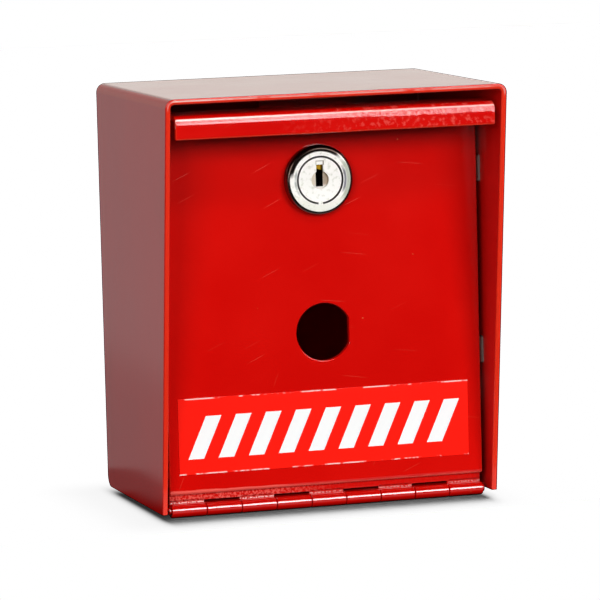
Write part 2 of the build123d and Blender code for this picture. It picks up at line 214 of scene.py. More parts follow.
class Tree:
    """A node tree that is written from the top down."""

    def __init__(self, node_tree):
        self.nodes = node_tree.nodes
        self.links = node_tree.links

    def node(self, kind, settings=None, sockets=None, output=0):
        """Adds a node, makes its settings, fills its sockets and returns one of its outputs."""
        node = self.nodes.new(kind)
        for name, value in (settings or {}).items():
            setattr(node, name, value)
        for name, value in (sockets or {}).items():
            if isinstance(value, Value):
                self.links.new(value.socket, node.inputs[name])
            else:
                node.inputs[name].default_value = value
        return Value(self, node.outputs[output]) if len(node.outputs) else None

    def math(self, operation, first, second=0.0):
        return self.node("ShaderNodeMath", {"operation": operation}, {0: first, 1: second})

    def blend(self, factor, first, second):
        """A colour between two others. Sockets 6 and 7 of a Mix node are its colours."""
        return self.node("ShaderNodeMix", {"data_type": "RGBA"},
                         {0: factor, 6: first, 7: second}, output=2)

    def fade(self, value, start, end):
        """0 at start and 1 at end, smoothly, and it may run downwards."""
        return self.node("ShaderNodeMapRange", {"interpolation_type": "SMOOTHSTEP"},
                         {"Value": value, "From Min": start, "From Max": end})

    def stripe(self, value, middle, far, near):
        """1 within near of a middle value and 0 beyond far from it."""
        return self.fade(abs(value - middle), far, near)

    def distance(self, aside, above):
        """How far off the middle a place is, from its two parts."""
        return self.math("SQRT", aside * aside + above * above)

    def ray_kinds(self):
        """Whether the camera looks straight at a spot, and whether it sees the spot in a mirror."""
        seen = self.node("ShaderNodeLightPath", output="Is Camera Ray")
        return seen, seen.output("Is Glossy Ray").at_least(seen.output("Is Transmission Ray"))


# %% [markdown]
# ## The red powder coat
#
# Powder melts in the oven and never quite levels, which leaves orange peel: soft bumps about a
# millimetre apart that break up every reflection. On top of that come dust specks in the paint and
# hairline scratches from handling. All of it reads Object coordinates, which are metres in the
# box's own frame, so a scale of 620 is a pattern of about one and a half millimetres.
#
# Scratches are straight and short, which noise alone can't say. So the surface is cut into lanes
# that all run one way, and each lane draws lots for one scratch: where it lies, how far along the
# lane, and how deep it is.

# %% Finish helpers
def new_finish(name):
    """An empty material as a Tree, with its Object coordinates."""
    material = bpy.data.materials.new(name)
    material.use_nodes = True
    material.node_tree.nodes.clear()
    tree = Tree(material.node_tree)
    place = tree.node("ShaderNodeTexCoord", output="Object")
    return material, tree, place


def axes(tree, place):
    """The three coordinates of a place."""
    across = tree.node("ShaderNodeSeparateXYZ", {}, {"Vector": place}, output="X")
    return across, across.output("Y"), across.output("Z")


def noise(tree, place, scale, detail=2.0, roughness=0.5, stretch=(1.0, 1.0, 1.0)):
    """Smooth noise about 0.5, which may be stretched along an axis."""
    spot = tree.node("ShaderNodeMapping", {}, {"Vector": place, "Scale": stretch})
    return tree.node("ShaderNodeTexNoise", {},
                     {"Vector": spot, "Scale": scale, "Detail": detail, "Roughness": roughness})


def bumps(tree, layers):
    """Stacks layers of (height, depth in metres), the first one lowest."""
    normal = None
    for height, depth in layers:
        sockets = {"Height": height, "Distance": depth, "Strength": 1.0}
        if normal is not None:
            sockets["Normal"] = normal
        normal = tree.node("ShaderNodeBump", {}, sockets)
    return normal


def surface(tree, sockets):
    """The shader at the end of the tree."""
    shader = tree.node("ShaderNodeBsdfPrincipled", {}, sockets)
    tree.node("ShaderNodeOutputMaterial", {}, {"Surface": shader})


def scratches(tree, place, angle, lane_width, length, shift):
    """Straight, short scratches, one in each of a row of lanes."""
    spread = 100 * mm
    across, along, height = axes(tree, place)
    flat = across + along
    waver = noise(tree, place, 25.0, detail=0.0) * (2.0 * mm)
    run = flat * math.cos(angle) + height * math.sin(angle)
    over = height * math.cos(angle) - flat * math.sin(angle) + waver + shift
    lane = tree.math("FLOOR", over / lane_width)
    lots = tree.node("ShaderNodeTexWhiteNoise", {"noise_dimensions": "1D"}, {"W": lane}, output="Color")
    lot = tree.node("ShaderNodeSeparateColor", {}, {"Color": lots}, output="Red")
    off_line = abs(over - (lane + 0.2 + 0.6 * lot) * lane_width)
    from_middle = abs(run - (lot.output("Green") - 0.5) * spread)
    line = tree.fade(off_line, 0.12 * mm, 0.02 * mm)
    ends = tree.fade(from_middle, length, 0.4 * length)
    return line * ends * (0.25 + 0.75 * lot.output("Blue"))


# %% [markdown]
# ## Where the paint differs
#
# Paint draws back from a sharp edge while it melts, so edges are lighter and more orange than the
# faces beside them; that lighter colour also stands for a painted highlight on edges and bands
# that catch the lamps. Inside the box the coat is thin and dull. Each piece has a rule that says
# where: it measures the distance to its own edges and fades between. A rule gives masks, such as
# edge, inside and dust, a mask of painted highlight, and two more numbers. The peel is how deep the
# orange peel goes. The crown is a height in metres that bends the light over a round edge as a
# tighter or flatter round would bend it.
#
# The hood's front edge carries a broken white line, a painted highlight where its round catches
# the lamps. The door's lip has such a painted highlight along its bend, mostly at the left, crumbs
# of painted highlight at the right, and a ragged edge above which it mirrors the lamps more evenly.
# The lip's lower edge, the door's foot and its sides carry lighter bands, painted highlights too.

# %% Zones of the wrap
def wrap_zones(tree, place):
    across, along, height = axes(tree, place)
    rake = (hood_depth - foot_depth) / (wrap_high.z - wrap_low.z)
    from_front = along - (back_y - foot_depth) + (height - wrap_low.z) * rake
    # The front edges are painted lighter: thinner paint and a painted highlight.
    edge = tree.fade(from_front, 0.60 * mm, 0.35 * mm)
    reach = abs(across)
    inner = (reach < wrap_high.x - 0.8 * sheet) * (height < wrap_high.z - 0.8 * sheet)
    on_top = height > wrap_high.z - 0.4 * mm

    # A broken painted highlight along the hood's front edge, where its round catches the lamps.
    past_side = (reach - (wrap_high.x - outer_bend)).at_least(0.0)
    past_top = (height - (wrap_high.z - outer_bend)).at_least(0.0)
    below_skin = outer_bend - tree.distance(past_side, past_top)
    rolled = tree.fade(below_skin, 0.42 * mm, 0.18 * mm)
    line = tree.stripe(below_skin, 0.80 * mm, 0.32 * mm, 0.12 * mm)
    line = line * tree.fade(height, wrap_high.z - 4.5 * mm, wrap_high.z - 2.5 * mm)
    glint = tree.fade(noise(tree, place, 90.0, detail=3.0), 0.34, 0.54)
    strength = 0.50 + 0.45 * tree.fade(across, -20 * mm, -48 * mm)
    return {"edge": edge * (1 - 0.85 * rolled), "inside": inner * (1 - edge), "scuffs": 0.3,
            "dust": 0.30 * on_top * (1 - edge), "painted_highlight": edge * line * glint * strength}


# %% Zones of the door
def door_zones(tree, place):
    across, along, height = axes(tree, place)
    forward = along < door_front - 3 * mm
    on_lip = height > lip_foot
    rightward = tree.fade(across, -30 * mm, 30 * mm)

    # The lip's lower edge, the foot and the sides are painted lighter as painted highlight bands, and the
    # crumbs are a painted mottled highlight on the lip.
    above_foot = tree.stripe(height, lip_foot, 0.75 * mm, 0.45 * mm) * forward
    ripple = noise(tree, place, 160.0, detail=2.0) + tree.fade(across, 10 * mm, -50 * mm)
    foot = tree.fade(height - door_low.z, (0.50 + 0.8 * ripple) * mm, (0.15 + 0.8 * ripple) * mm)
    side = tree.fade(abs(across), door_high.x - 0.40 * mm, door_high.x - 0.20 * mm)
    highlight_crumbs = tree.fade(noise(tree, place, 560.0, detail=3.0), 0.50, 0.66)
    highlight_crumbs = highlight_crumbs * rightward * on_lip * forward

    low_edge = lip_foot + (5.9 - 1.2 * rightward) * mm
    mottle = (noise(tree, place, 900.0, detail=3.0) - 0.5) * ((0.4 + 1.1 * rightward) * mm)
    above_edge = height - low_edge + mottle
    curled = (along - lip_front).at_least(0.0)
    flatter = above_edge.at_least(0.0) * -0.20
    tighter = curled.at_most(0.75 * mm) * 1.05 * (above_edge > 0.0)

    # A painted highlight along the lip's bend, strongest at the left.
    bend_line = tree.stripe(curled, 0.60 * mm, 0.28 * mm, 0.10 * mm)
    bend_line = bend_line * forward * (height > lip_foot + 4 * mm)
    bend_line = bend_line * (0.35 + 0.45 * tree.fade(across, -15 * mm, -45 * mm))
    return {"edge": above_foot.at_least(0.9 * foot).at_least(0.6 * side).at_least(0.42 * highlight_crumbs),
            "painted_highlight": (0.10 * foot).at_least(bend_line).at_least(0.07 * highlight_crumbs),
            "inside": along > door_front + 0.5 * sheet,
            "peel": 1 + 0.4 * on_lip * forward, "crown": (flatter + tighter) * forward}


# %% [markdown]
# ## The paint on the hinge
#
# On the hinge the paint is thick. It has wrinkled in the crease above the knuckles, most of all at
# the left, and there it is painted lighter in patches, a painted sheen, with a broken painted
# highlight along the crease. The knuckles themselves are smooth. Their crown is a narrow flat that
# faces the lamps and gathers their light into one crisp line.


# %% Zones of the hinge
def hinge_zones(tree, place):
    across, along, height = axes(tree, place)
    strip = tree.fade(height, barrel_top + 0.1 * mm, barrel_top + 0.5 * mm)
    leftward = tree.fade(across, 10 * mm, -25 * mm)
    # A broken painted highlight along the crease, and the wrinkled patches painted lighter as a painted
    # sheen.
    crease = tree.stripe(height, barrel_top + 0.35 * mm, 0.34 * mm, 0.12 * mm)
    highlight_crumbs = tree.fade(noise(tree, place, 1300.0, detail=1.0), 0.42, 0.54)
    patches = tree.fade(noise(tree, place, 1150.0, detail=2.0), 0.42, 0.62)
    patches = patches * strip * (0.05 + 0.95 * leftward)

    lamp_lift = math.radians(16)
    flat_height = 0.0095 * barrel_radius
    ahead, above = barrel_y - along, height - barrel_z
    lamp_side = ahead * math.cos(lamp_lift) + above * math.sin(lamp_lift)
    upper = above * math.cos(lamp_lift) - ahead * math.sin(lamp_lift)
    flat = (barrel_radius - lamp_side).at_least(0.0).at_most(flat_height)
    return {"edge": 0.8 * patches, "scuffs": 0.0, "peel": 0.1 + (0.9 + 4.0 * leftward) * strip,
            "painted_highlight": ((0.35 + 0.40 * leftward) * crease * highlight_crumbs).at_least(0.12 * patches),
            "crown": flat * (upper > 0.0) * (1 - strip)}


# %% Powder coat
# The orange of edges is thinner paint and also a painted highlight; the near white is a painted highlight.
COAT_RED, COAT_RED_BRIGHTER = (0.60, 0.0016, 0.0004, 1), (0.64, 0.0026, 0.0008, 1)
SPECK_ORANGE, SCRATCH_ORANGE = (0.80, 0.14, 0.05, 1), (0.82, 0.11, 0.05, 1)
THIN_PAINT_AND_SHEEN_ORANGE, HIGHLIGHT_WHITE = (0.86, 0.030, 0.010, 1), (0.95, 0.66, 0.60, 1)
DUST_GREY = (0.20, 0.15, 0.135, 1)
PLAIN_ZONE = {"edge": 0.0, "painted_highlight": 0.0, "inside": 0.0, "dust": 0.0,
              "scuffs": 1.0, "peel": 1.0, "crown": None}


def powder_coat(name, zones=None, peel_scale=620.0, rough=0.12, gloss=0.7):
    material, tree, place = new_finish(name)
    zone = dict(PLAIN_ZONE)
    if zones:
        zone.update(zones(tree, place))

    cloud = noise(tree, place, 30.0, detail=3.0)
    paint = tree.blend(tree.fade(cloud, 0.3, 0.7), COAT_RED, COAT_RED_BRIGHTER)

    specks = tree.node("ShaderNodeTexVoronoi", {"feature": "F1"},
                       {"Vector": place, "Scale": 210.0, "Randomness": 1.0}, output="Distance")
    chance = tree.node("ShaderNodeSeparateColor", {}, {"Color": specks.output("Color")}, output="Red")
    speck = tree.fade(specks, 0.085, 0.03) * (chance > 0.93)

    scratch = scratches(tree, place, math.radians(24), 6.5 * mm, 4.2 * mm, 0.0)
    scratch = scratch.at_least(scratches(tree, place, math.radians(-7), 8.5 * mm, 5.5 * mm, 3.1 * mm))
    scratch = scratch.at_least(scratches(tree, place, math.radians(68), 15.0 * mm, 3.0 * mm, 7.7 * mm))
    scratch = scratch * zone["scuffs"]

    for mask, colour in ((speck * 0.5, SPECK_ORANGE), (scratch * 0.30, SCRATCH_ORANGE),
                         (zone["dust"], DUST_GREY), (zone["edge"], THIN_PAINT_AND_SHEEN_ORANGE),
                         (zone["painted_highlight"], HIGHLIGHT_WHITE)):
        paint = tree.blend(mask, paint, colour)

    peel = noise(tree, place, peel_scale, detail=2.0, roughness=0.45)
    grain = noise(tree, place, 3200.0, detail=1.0)
    sag = noise(tree, place, 90.0, detail=1.0)
    layers = [(sag, 3.0e-5), (peel * zone["peel"], 12e-6), (grain, 6.0e-7), (speck, 2.0e-5)]
    if zone["crown"]:
        layers.insert(0, (zone["crown"], 1.0))

    surface(tree, {"Base Color": paint,
                   "Roughness": rough + 0.06 * cloud + 0.20 * scratch + 0.24 * zone["inside"],
                   "Specular IOR Level": gloss,
                   "Normal": bumps(tree, layers)})
    return material


panel_paint = powder_coat("red_powder_coat")
wrap_paint = powder_coat("red_powder_coat_on_the_wrap", wrap_zones)
door_paint = powder_coat("red_powder_coat_on_the_door", door_zones, rough=0.10, gloss=0.6)
leaf_paint = powder_coat("red_powder_coat_on_the_hinge", hinge_zones,
                         peel_scale=900.0, rough=0.05, gloss=1.0)
print("paints", panel_paint.name, wrap_paint.name, door_paint.name, leaf_paint.name)

# %% [markdown]
# ## Metals, rubber and film
#
# The lock is a zinc casting. Its face and the face of its plug are frosted, so they look almost
# white. Its side is smooth and painted dark, a painted dark reflection, and the ring between rim
# and plug is painted near black, as painted shade. That is a rule about the distance from the
# lock's axis and the depth behind its front, so one function dresses both castings. Above the
# keyway the face carries the fine outline of a notch.
#
# The rim mirrors a dark room: a crescent along its upper left edge, a band and a grey outer edge at
# its right, a soft smear at its left and a greyer lower part. Frost can't mirror so sharply, so
# these are painted reflections. So is the dish round the keyway, painted bright at its left, dark
# at its right and pale below. The glint of brass deep in the keyway is a painted highlight, and it
# glows a little as emission.
#
# Zinc plate on the nut, cam and washers is duller and shows the cut of the tool. The wafers are
# stamped brass, painted almost black as painted shade, with a painted glint at the top left of the
# keyway.

# %% Castings of the lock
# The greys, darks and blacks of the rim and the dish colours are painted reflections and painted shade.
FROST_WHITE, FROST_BLOTCH = (0.96, 0.955, 0.91, 1), (0.60, 0.62, 0.52, 1)
LOW_REFLECTION_GREY, OUTER_GREY = (0.58, 0.60, 0.48, 1), (0.33, 0.36, 0.26, 1)
BAND_DARK, SMEAR_DARK = (0.07, 0.08, 0.12, 1), (0.12, 0.17, 0.15, 1)
SIDE_REFLECTION_DARK, NOTCH_BROWN = (0.20, 0.165, 0.15, 1), (0.20, 0.17, 0.10, 1)
RING_SHADE_BLACK, CRESCENT_BLACK = (0.022, 0.016, 0.012, 1), (0.030, 0.020, 0.016, 1)
DISH_REFLECTION_BRIGHT, DISH_REFLECTION_DARK = (1.0, 0.90, 0.70, 1), (0.50, 0.38, 0.26, 1)
DISH_REFLECTION_PALE = (0.97, 0.95, 0.90, 1)
NO_GLOW, BRASS_GLOW = (0, 0, 0, 1), (0.42, 0.24, 0.015, 1)


def around_lock(tree, place):
    """Distance from the lock's axis, depth behind its front, and the way right and up from its axis."""
    across, along, height = axes(tree, place)
    aside, above = across - lock_x, height - lock_z
    return tree.distance(aside, above), along - lock_low.y, aside, above


def frosted_white(tree, place, radius, aside, above):
    """The frosted face with the painted reflections on its rim, and where the frost is blotched."""
    rightward, leftward = tree.fade(aside, 0.0, 3 * mm), tree.fade(aside, 0.0, -3 * mm)
    level = abs(above)
    blotch = tree.fade(noise(tree, place, 700.0, detail=3.0), 0.50, 0.72)
    # The grey lower part, the grey outer edge, the dark band and the smear are painted reflections.
    low = tree.fade(above, -4 * mm, -8 * mm) * tree.fade(radius, 8.4 * mm, 8.8 * mm)
    outer = tree.fade(radius, 9.5 * mm, 9.9 * mm) * tree.fade(level, 8 * mm, 5 * mm) * rightward
    band = tree.stripe(radius, 9.15 * mm, 0.60 * mm, 0.25 * mm)
    band = band * tree.fade(level, 5.5 * mm, 2.5 * mm) * rightward
    smear = tree.fade(noise(tree, place, 480.0, detail=1.0), 0.25, 0.65) * leftward
    smear = smear * tree.stripe(radius, 8.95 * mm, 0.65 * mm, 0.15 * mm)
    smear = smear * tree.fade(level, 6 * mm, 3 * mm)

    white = FROST_WHITE
    for mask, colour in ((blotch * 0.60, FROST_BLOTCH), (low * 0.40, LOW_REFLECTION_GREY), (outer * 0.75, OUTER_GREY),
                         (band * 0.85, BAND_DARK), (smear * 0.62, SMEAR_DARK)):
        white = tree.blend(mask, white, colour)
    return white, blotch


def cast_chrome(name, frost, face_depth):
    material, tree, place = new_finish(name)
    radius, depth, aside, above = around_lock(tree, place)
    tilt = math.radians(20)
    up_left = above * math.cos(tilt) - aside * math.sin(tilt)
    crescent = tree.fade(radius, 9.7 * mm, 10.2 * mm) * tree.fade(up_left, 4 * mm, 7 * mm)
    face = tree.fade(depth, 1.3 * face_depth, 0.8 * face_depth) * (1 - crescent)
    dish = tree.fade(radius, 3.30 * mm, 3.10 * mm) * (depth > 0.4 * mm)
    off_nub = ((abs(aside) > 0.8 * mm) + (above > 0.0)).at_most(1.0)
    # The ring between rim and plug is painted near black, as painted shade.
    ring_shade = tree.stripe(radius, 8.1 * mm, 0.42 * mm, 0.27 * mm) * off_nub
    ring_shade = ring_shade * tree.fade(depth, 4.0 * mm, 3.0 * mm)
    off_notch = (abs(aside) - 1.35 * mm).at_least(above - 6.6 * mm)
    notch = tree.fade(abs(off_notch), 0.22 * mm, 0.10 * mm) * (above > 5.2 * mm)

    white, blotch = frosted_white(tree, place, radius, aside, above)
    # The dish round the keyway is a painted reflection: bright at the left, dark at the right, pale below.
    painted_reflection = tree.blend(tree.fade(aside, -1.5 * mm, 3.0 * mm), DISH_REFLECTION_BRIGHT, DISH_REFLECTION_DARK)
    painted_reflection = tree.blend(tree.fade(above, -1.2 * mm, -2.4 * mm), painted_reflection, DISH_REFLECTION_PALE)
    # The side is painted dark, a painted dark reflection.
    colour = tree.blend(face, SIDE_REFLECTION_DARK, tree.blend(dish, white, painted_reflection))
    colour = tree.blend(ring_shade, colour, RING_SHADE_BLACK)
    colour = tree.blend(crescent, colour, CRESCENT_BLACK)
    colour = tree.blend(notch * 0.75, colour, NOTCH_BROWN)

    # A painted brass glint deep in the keyway, which glows as emission.
    in_slot = (radius < 5.2 * mm) * (aside > 1.0 * mm) * tree.fade(above, 3.1 * mm, 3.4 * mm)
    glint = in_slot * (0.12 + 0.88 * tree.fade(depth, 3.0 * mm, 4.4 * mm)) * (depth > 1.2 * mm)

    frosted = face * (1 - ring_shade)
    pits = noise(tree, place, 1500.0, detail=3.0, roughness=0.6)
    surface(tree, {"Base Color": colour,
                   "Metallic": (1 - frost * frosted) * (1 - ring_shade),
                   "Roughness": 0.20 + 0.26 * frosted + 0.06 * blotch + 0.3 * ring_shade,
                   "Emission Color": tree.blend(glint, NO_GLOW, BRASS_GLOW), "Emission Strength": 1.0,
                   "Normal": bumps(tree, [(pits, 5.0e-6)])})
    return material


# %% Zinc, wire and brass
def zinc_plate(name):
    material, tree, place = new_finish(name)
    grain = noise(tree, place, 900.0, detail=3.0, stretch=(1.0, 1.0, 0.15))
    bloom = noise(tree, place, 120.0, detail=2.0)
    colour = tree.blend(bloom, (0.60, 0.61, 0.60, 1), (0.72, 0.72, 0.68, 1))
    surface(tree, {"Base Color": colour, "Metallic": 1.0, "Roughness": 0.30 + 0.18 * bloom,
                   "Normal": bumps(tree, [(grain, 6.0e-6)])})
    return material


def drawn_wire(name):
    material, tree, place = new_finish(name)
    streaks = noise(tree, place, 700.0, detail=2.0, stretch=(0.08, 1.0, 1.0))
    colour = tree.blend(streaks, (0.38, 0.38, 0.37, 1), (0.58, 0.57, 0.55, 1))
    surface(tree, {"Base Color": colour, "Metallic": 1.0, "Roughness": 0.35,
                   "Normal": bumps(tree, [(streaks, 4.0e-6)])})
    return material


def stamped_brass(name):
    material, tree, place = new_finish(name)
    across, _, height = axes(tree, place)
    # A painted glint at the top left of the keyway; the rest of the brass is painted almost black as
    # painted shade.
    painted_reflection = tree.fade(height - lock_z, 2.9 * mm, 3.4 * mm) * tree.fade(across - lock_x, 0.5 * mm, 0.0)
    tarnish = noise(tree, place, 500.0, detail=3.0)
    dull = tree.blend(tarnish, (0.022, 0.018, 0.010, 1), (0.009, 0.008, 0.005, 1))
    colour = tree.blend(painted_reflection, dull, (0.92, 0.58, 0.13, 1))
    surface(tree, {"Base Color": colour, "Metallic": 1.0, "Roughness": 0.30 + 0.15 * tarnish,
                   "Normal": bumps(tree, [(tarnish, 6.0e-6)])})
    return material


rim_chrome = cast_chrome("cast_chrome_on_the_rim", frost=0.75, face_depth=0.03 * mm)
plug_chrome = cast_chrome("cast_chrome_on_the_plug", frost=0.85, face_depth=1.15 * mm)
zinc = zinc_plate("zinc_plate")
wire = drawn_wire("drawn_steel_wire")
brass = stamped_brass("stamped_brass")
print("metals", rim_chrome.name, plug_chrome.name, zinc.name, wire.name, brass.name)

# %% Rubber and film
def soft_rubber(name):
    material, tree, place = new_finish(name)
    cells = noise(tree, place, 1400.0, detail=2.0)
    colour = tree.blend(cells, (0.17, 0.155, 0.14, 1), (0.26, 0.24, 0.22, 1))
    surface(tree, {"Base Color": colour, "Roughness": 0.75,
                   "Normal": bumps(tree, [(cells, 2.0e-5)])})
    return material


def sticker_film(name, first, second, glint=0.0):
    """Vinyl with a soft ripple, and a broken painted highlight along its top and bottom cut edges."""
    material, tree, place = new_finish(name)
    print_cloud = noise(tree, place, 60.0, detail=2.0)
    ripple = noise(tree, place, 160.0, detail=2.0, stretch=(0.5, 1.0, 1.6))
    colour = tree.blend(print_cloud, first, second)
    _, _, height = axes(tree, place)
    from_edge = (label_high.z - height).at_most(height - label_low.z)
    # A broken painted highlight along the top and bottom edges.
    line = tree.fade(from_edge, 0.52 * mm, 0.26 * mm)
    glint_breaks = tree.fade(noise(tree, place, 110.0, detail=3.0, roughness=0.65), 0.47, 0.56)
    colour = tree.blend(line * glint_breaks * glint, colour, (1.0, 0.78, 0.72, 1))
    surface(tree, {"Base Color": colour, "Roughness": 0.26, "Specular IOR Level": 0.4,
                   "Normal": bumps(tree, [(ripple, 2.5e-5)])})
    return material


rubber = soft_rubber("grey_foam_rubber")
red_film = sticker_film("bright_red_vinyl", (0.97, 0.0062, 0.0008, 1), (1.0, 0.0090, 0.0012, 1),
                        glint=0.75)
white_film = sticker_film("white_vinyl", (0.90, 0.90, 0.90, 1), (0.94, 0.94, 0.94, 1))

# %% [markdown]
# ## Dressing the pieces that keep their shape
#
# Most pieces came out of the model with the right shape already. They only change their material.

# %% Finishes on the model's own pieces
finish_of = {
    "back_floor_panel": panel_paint, "door_panel": door_paint, "latch_strike": panel_paint,
    "wrap_shell": wrap_paint, "hinge_body_leaf": leaf_paint, "hinge_door_leaf": leaf_paint,
    "door_label": red_film, "hinge_pin": leaf_paint, "key_hook_strip": zinc,
    "stop_pads_left": rubber, "stop_pads_right": rubber,
    "lock_shell": rim_chrome, "lock_plug": plug_chrome,
    "tumbler_wafers": brass, "tumbler_springs": wire,
    "lock_washer": zinc, "lock_nut": zinc, "cam_stop_washer": zinc, "cam": zinc,
    "cam_lock_washer": zinc, "cam_screw": zinc,
}
for name, material in finish_of.items():
    nodes[name].data.materials.clear()
    nodes[name].data.materials.append(material)
print("dressed", len(finish_of), "of", len(nodes))

# %% [markdown]
# ## Growing pieces with Geometry Nodes
#
# Sheet metal is a bend line with a gauge, and a hinge is one knuckle many times over. Geometry
# Nodes says such rules well: a tree has named inputs for its sizes, and it runs once. The result
# is kept as a plain mesh, so nothing is left to go wrong later. A small helper does the running,
# and turns all faces outwards, which a swept shape may get wrong.


# %% Running a tree
SOCKET_OF = {float: "NodeSocketFloat", int: "NodeSocketInt", tuple: "NodeSocketVector"}
WELD_DISTANCE = 1e-6
SHARP_ANGLE = math.radians(38)


def grow(name, build, sizes, material, body, stands_for=None, soften=True):
    """Builds a tree, runs it once and keeps its mesh as a piece of that body."""
    group = bpy.data.node_groups.new(name, "GeometryNodeTree")
    group.interface.new_socket(name="Geometry", in_out="OUTPUT", socket_type="NodeSocketGeometry")
    sockets = {}
    for label, value in sizes.items():
        sockets[label] = group.interface.new_socket(name=label, in_out="INPUT",
                                                    socket_type=SOCKET_OF[type(value)])
    tree = Tree(group)
    entry = tree.node("NodeGroupInput")
    shape = build(tree, {label: entry.output(label) for label in sizes})
    real = tree.node("GeometryNodeRealizeInstances", {}, {"Geometry": shape})
    painted = tree.node("GeometryNodeSetMaterial", {}, {"Geometry": real, "Material": material})
    tree.node("NodeGroupOutput", {}, {"Geometry": painted})

    holder = bpy.data.objects.new(name + "_holder", bpy.data.meshes.new(name + "_holder"))
    scene.collection.objects.link(holder)
    modifier = holder.modifiers.new("grow", "NODES")
    modifier.node_group = group
    for label, value in sizes.items():
        modifier[sockets[label].identifier] = value
    mesh = bpy.data.meshes.new_from_object(holder.evaluated_get(bpy.context.evaluated_depsgraph_get()))
    holder.modifiers.remove(modifier)
    bpy.data.objects.remove(holder)

    grown = bmesh.new()
    grown.from_mesh(mesh)
    bmesh.ops.remove_doubles(grown, verts=grown.verts, dist=WELD_DISTANCE)
    bmesh.ops.recalc_face_normals(grown, faces=grown.faces)
    for face in grown.faces:
        face.smooth = soften
    for edge in grown.edges:
        edge.smooth = len(edge.link_faces) == 2 and edge.calc_face_angle(0.0) < SHARP_ANGLE
    grown.to_mesh(mesh)
    grown.free()
    mesh.name = name
    piece = bpy.data.objects.new(name, mesh)
    scene.collection.objects.link(piece)
    if soften:
        weigh_normals(piece)
    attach(piece, body)
    if stands_for:
        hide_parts(stands_for)
    print(name, len(mesh.polygons), "faces")
    return piece


def weigh_normals(piece):
    """Lets big flat faces decide the normals, so that only the rounds look round."""
    weighted = piece.modifiers.new("weighted", "WEIGHTED_NORMAL")
    weighted.keep_sharp = True
    mesh = bpy.data.meshes.new_from_object(piece.evaluated_get(bpy.context.evaluated_depsgraph_get()))
    piece.modifiers.remove(weighted)
    mesh.name = piece.name
    piece.data = mesh


# %% [markdown]
# ## The wrap: both sides and the hood
#
# One sheet runs up the left side, over the top and down the right side. Its section is the same
# all along the bend line, so it is swept: the bend line is the outer face seen from the front, and
# the profile is the sheet seen on edge, inside that line, with edges that the paint has rounded.
# Each side has a point for every step of its heel and one at its top corner. The rake of the
# hood then slides the front of the sheet backwards by height, which keeps those rounds round, and
# the lowest points of the bend line follow the quarter circle of the heel.


# %% Bend line, profile and sweep
def rounded_block(tree, width, height, edge):
    """A rectangle with rounded corners."""
    block = tree.node("GeometryNodeCurvePrimitiveQuadrilateral", {"mode": "RECTANGLE"},
                      {"Width": width, "Height": height})
    return tree.node("GeometryNodeFilletCurve", {"mode": "POLY"},
                     {"Curve": block, "Count": 3, "Radius": edge})


def bend_line(tree, count, spots):
    """A curve through that many points, whose places are given by their index."""
    line = tree.node("GeometryNodeMeshLine", {}, {"Count": count})
    placed = tree.node("GeometryNodeSetPosition", {}, {"Geometry": line, "Position": spots})
    return tree.node("GeometryNodeMeshToCurve", {}, {"Mesh": placed})


def sweep(tree, line, profile):
    """The solid that a profile leaves along a line, with closed ends."""
    return tree.node("GeometryNodeCurveToMesh", {},
                     {"Curve": line, "Profile Curve": profile, "Fill Caps": True})


def wrap_tree(tree, size):
    heel_steps = 6
    side_points = heel_steps + 2
    index = tree.node("GeometryNodeInputIndex")
    rank = index.at_most(2 * side_points - 1 - index)
    corner = rank > heel_steps + 0.5
    turn = tree.math("COSINE", rank * (math.pi / (2 * heel_steps)))
    climb = (1 - corner) * size["Heel"] * (1 - turn) + corner * size["Height"]
    reach = (2 * (index > side_points - 0.5) - 1) * (0.5 * size["Width"])
    spots = tree.node("ShaderNodeCombineXYZ", {}, {"X": reach, "Z": climb})
    line = bend_line(tree, 2 * side_points, spots)
    bent = tree.node("GeometryNodeFilletCurve", {"mode": "POLY"},
                     {"Curve": line, "Count": 8, "Radius": corner * size["Bend"]})
    on_edge = rounded_block(tree, size["Gauge"], size["Hood depth"], size["Edge"])
    inwards = tree.node("ShaderNodeCombineXYZ", {}, {"X": 0.5 * size["Gauge"]})
    profile = tree.node("GeometryNodeTransform", {}, {"Geometry": on_edge, "Translation": inwards})
    swept = sweep(tree, bent, profile)

    spot = tree.node("GeometryNodeInputPosition")
    across, along, height = axes(tree, spot)
    rake = (size["Hood depth"] - size["Foot depth"]) * (1 - height / size["Height"])
    into_heel = (size["Heel"] - height).at_least(0.0)
    heel = size["Heel"] - tree.math("SQRT", size["Heel"] * size["Heel"] - into_heel * into_heel)
    front = along < 0.0
    slide = front * rake - (1 - front) * heel
    new_y = along + slide + size["Back"] - 0.5 * size["Hood depth"]
    moved = tree.node("ShaderNodeCombineXYZ", {}, {"X": across, "Y": new_y, "Z": height + size["Foot"]})
    return tree.node("GeometryNodeSetPosition", {}, {"Geometry": swept, "Position": moved})


# %% Wrap shell
wrap = grow("wrap_sheet", wrap_tree, {
    "Width": wrap_high.x - wrap_low.x, "Height": wrap_high.z - wrap_low.z, "Foot": wrap_low.z,
    "Gauge": sheet, "Edge": paint_round, "Bend": outer_bend, "Heel": heel_round,
    "Hood depth": hood_depth, "Foot depth": foot_depth, "Back": back_y,
}, wrap_paint, "housing", stands_for="wrap_shell")
wrap_span = list(zip(*wrap.bound_box))
print("wrap runs from", [round(min(places) / mm, 2) for places in wrap_span],
      "to", [round(max(places) / mm, 2) for places in wrap_span])

# %% [markdown]
# ## The continuous hinge
#
# Each leaf is a strip whose edge is notched into tongues, and each tongue is curled round the pin
# until it almost meets itself again. The door's leaf has knuckles 1, 3, 5, 7 and 9 and stands up
# behind the door; the body's leaf has the even ones and lies on the floor. It is one rule with
# other directions, so one tree makes both: the curl is a swept bend line, and its copies stand on
# every second place of a row. The first point of a curl lies on the strip and all others on the
# circle, close enough together that the line of light along the barrel stays unbroken.

